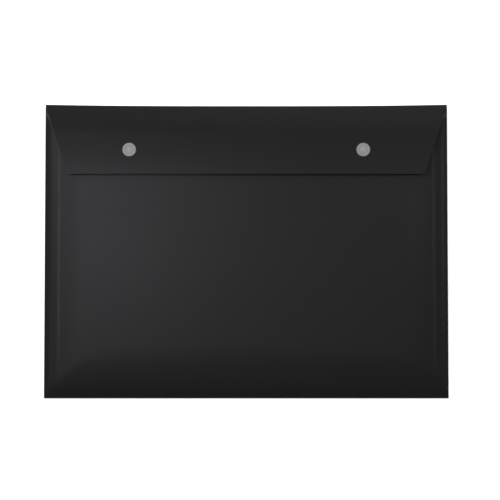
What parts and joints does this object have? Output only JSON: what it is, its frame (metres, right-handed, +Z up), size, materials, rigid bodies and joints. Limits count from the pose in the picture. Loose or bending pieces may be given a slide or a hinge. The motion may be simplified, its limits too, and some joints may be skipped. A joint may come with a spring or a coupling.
{
  "type": "document wallet",
  "caption": "Landscape envelope wallet of folded plastic sheet, with a raised pocket, welded side tabs and a tapered flap that swings over the mouth and closes on press studs.",
  "frame": {"origin": "on the table under the middle of the back panel, which lies face down", "axes": "+X across the wallet, +Y from the bottom fold to the top fold, +Z up out of the front panel"},
  "size_m": [0.335, 0.2444, 0.011],
  "materials": {
    "sheet": "satin black polypropylene sheet with a fine grain",
    "stud": "translucent grey moulded plastic"
  },
  "bodies": {
    "wallet": {"back_panel": "sheet", "front_panel": "sheet", "left_side_tab": "sheet", "right_side_tab": "sheet", "left_stud": "stud", "right_stud": "stud", "left_post": "stud", "right_post": "stud"},
    "flap": {"flap": "sheet", "left_cap": "stud", "right_cap": "stud", "left_socket": "stud", "right_socket": "stud"}
  },
  "joints": [
    {"name": "flap_fold", "type": "hinge", "parent": "wallet", "child": "flap", "pos_m": [0, 0.12165, 0.0006], "axis": [-1, 0, 0], "range_deg": [0, 154]}
  ]
}
